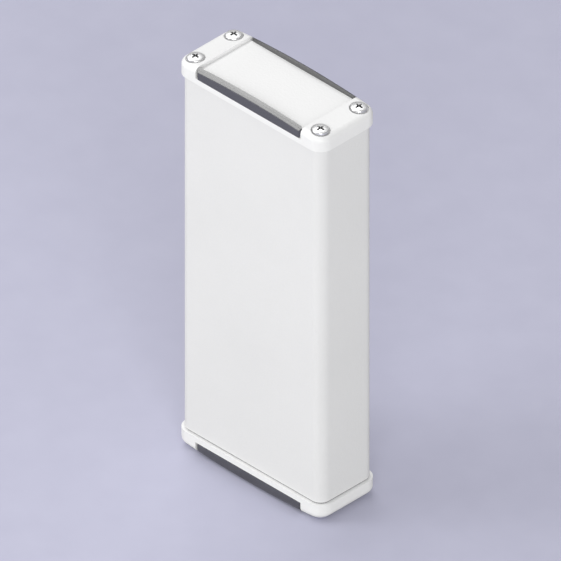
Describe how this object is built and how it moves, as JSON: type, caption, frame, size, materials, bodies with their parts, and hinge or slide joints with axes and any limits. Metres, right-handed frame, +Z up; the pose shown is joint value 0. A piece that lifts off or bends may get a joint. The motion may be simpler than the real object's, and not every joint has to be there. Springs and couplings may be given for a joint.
{
  "type": "electronics enclosure",
  "caption": "Slim extruded aluminium electronics enclosure with rounded edges, closed at each end by a crowned screwed-on cap with dark arched trim strips",
  "frame": {"origin": "the middle of the footprint, level with the lowest point, on which the enclosure stands", "axes": "+X along the wide faces, +Y from the front to the rear through the thin side, +Z up along the profile"},
  "size_m": [0.0826, 0.0334, 0.1909],
  "materials": {
    "profile": "fine satin powder coat",
    "cap": "fine satin powder coat",
    "trim": "satin to gloss",
    "gasket": "matt",
    "screw": "bright plated"
  },
  "bodies": {
    "root": {"profile_body": "profile", "top_gasket": "gasket", "bottom_gasket": "gasket", "top_end_cap": "cap", "bottom_end_cap": "cap", "top_front_trim": "trim", "top_rear_trim": "trim", "bottom_front_trim": "trim", "bottom_rear_trim": "trim", "top_cap_screws": "screw", "bottom_cap_screws": "screw"}
  },
  "joints": []
}
